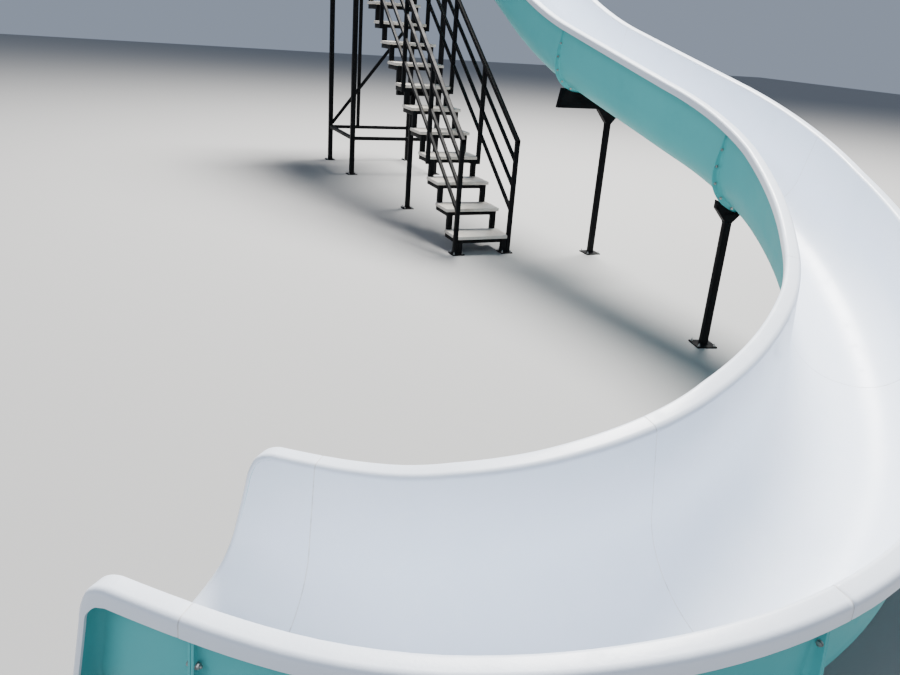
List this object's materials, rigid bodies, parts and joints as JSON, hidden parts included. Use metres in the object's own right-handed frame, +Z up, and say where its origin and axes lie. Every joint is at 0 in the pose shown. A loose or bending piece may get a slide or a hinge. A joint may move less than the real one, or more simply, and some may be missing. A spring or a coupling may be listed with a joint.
{
  "type": "water slide tower",
  "caption": "Open curved water slide flume on steel posts, with an open-riser stair and a square-tube tower.",
  "frame": {"origin": "on the ground under the centre of the stair's left foot plate", "axes": "+X across the treads to the right, +Y up the flight towards the deck, +Z up"},
  "size_m": [4.6694, 10.9279, 3.9703],
  "materials": {
    "steel": "satin black paint",
    "gelcoat": "glossy white inside, teal outside",
    "stone": "honed light stone"
  },
  "bodies": {
    "root": {"deck_frame": "steel", "deck_slab": "stone", "flume_bend_lower": "gelcoat", "flume_bend_upper": "gelcoat", "flume_end_bend": "gelcoat", "flume_entry": "gelcoat", "flume_exit": "gelcoat", "flume_middle": "gelcoat", "flume_upper": "gelcoat", "guard_back": "steel", "guard_left": "steel", "guard_right": "steel", "slide_post_1": "steel", "slide_post_2": "steel", "slide_post_3": "steel", "slide_post_4": "steel", "stair_railing_left": "steel", "stair_railing_right": "steel", "stair_stringer_left": "steel", "stair_stringer_right": "steel", "stair_tread_01": "stone", "stair_tread_02": "stone", "stair_tread_03": "stone", "stair_tread_04": "stone", "stair_tread_05": "stone", "stair_tread_06": "stone", "stair_tread_07": "stone", "stair_tread_08": "stone", "stair_tread_09": "stone", "stair_tread_10": "stone", "stair_tread_11": "stone", "stair_tread_12": "stone", "stair_tread_13": "stone", "stair_tread_14": "stone", "stair_trestle": "steel", "tower_brace_back": "steel", "tower_leg_back_left": "steel", "tower_leg_back_right": "steel", "tower_leg_front_left": "steel", "tower_leg_front_right": "steel", "tower_middle_post": "steel", "tower_tie_back": "steel", "tower_tie_front": "steel", "tower_tie_left": "steel", "tower_tie_right": "steel"}
  },
  "joints": []
}
